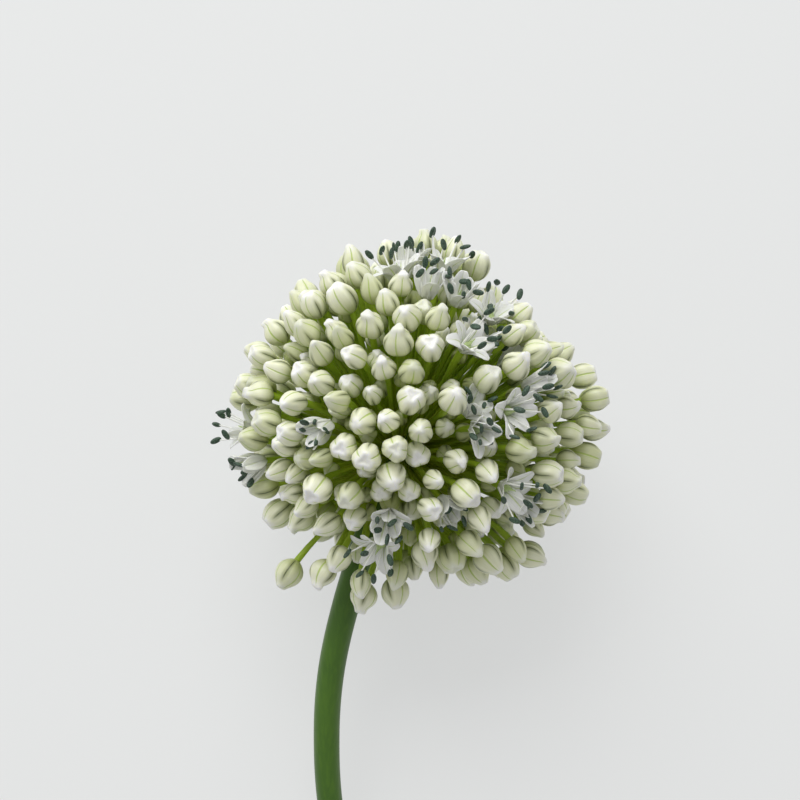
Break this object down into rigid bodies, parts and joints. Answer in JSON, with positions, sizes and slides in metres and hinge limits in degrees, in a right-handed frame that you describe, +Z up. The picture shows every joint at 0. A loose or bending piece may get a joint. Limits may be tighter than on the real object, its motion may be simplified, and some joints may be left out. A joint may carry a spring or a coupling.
{
  "type": "allium flower head",
  "caption": "Allium flower head: a ball of closed creamy buds with a few open flowers, on a short cut length of bare curved stalk, lying on its side.",
  "frame": {"origin": "middle of the footprint, on the surface that the flower lies on", "axes": "+Y along the cut stalk towards the head, +Z up from the surface, +X to the right of the head as it is seen from above with the stalk towards the viewer"},
  "size_m": [0.076, 0.14, 0.0634],
  "materials": {
    "scape": "smooth waxy plant stem",
    "buds": "soft satin plant tissue",
    "petals": "soft satin plant tissue"
  },
  "bodies": {
    "root": {"cyme_01": "buds", "cyme_02": "buds", "cyme_03": "buds", "cyme_04": "buds", "cyme_05": "buds", "cyme_06": "buds", "cyme_07": "buds", "cyme_08": "buds", "cyme_09": "buds", "cyme_10": "buds", "cyme_11": "buds", "cyme_12": "buds", "cyme_13": "buds", "cyme_14": "buds", "cyme_15": "buds", "cyme_16": "buds", "cyme_17": "buds", "cyme_18": "buds", "cyme_19": "buds", "cyme_20": "buds", "cyme_21": "buds", "cyme_22": "buds", "cyme_23": "buds", "cyme_24": "buds", "cyme_25": "buds", "cyme_26": "buds", "cyme_27": "buds", "cyme_28": "buds", "cyme_29": "buds", "cyme_30": "buds", "cyme_31": "buds", "cyme_32": "buds", "cyme_33": "buds", "cyme_34": "buds", "cyme_35": "buds", "cyme_36": "buds", "cyme_37": "buds", "cyme_38": "buds", "cyme_39": "buds", "cyme_40": "buds", "cyme_41": "buds", "cyme_42": "buds", "open_flower_01": "petals", "open_flower_02": "petals", "open_flower_03": "petals", "open_flower_04": "petals", "open_flower_05": "petals", "open_flower_06": "petals", "open_flower_07": "petals", "open_flower_08": "petals", "open_flower_09": "petals", "open_flower_10": "petals", "scape": "scape"}
  },
  "joints": []
}
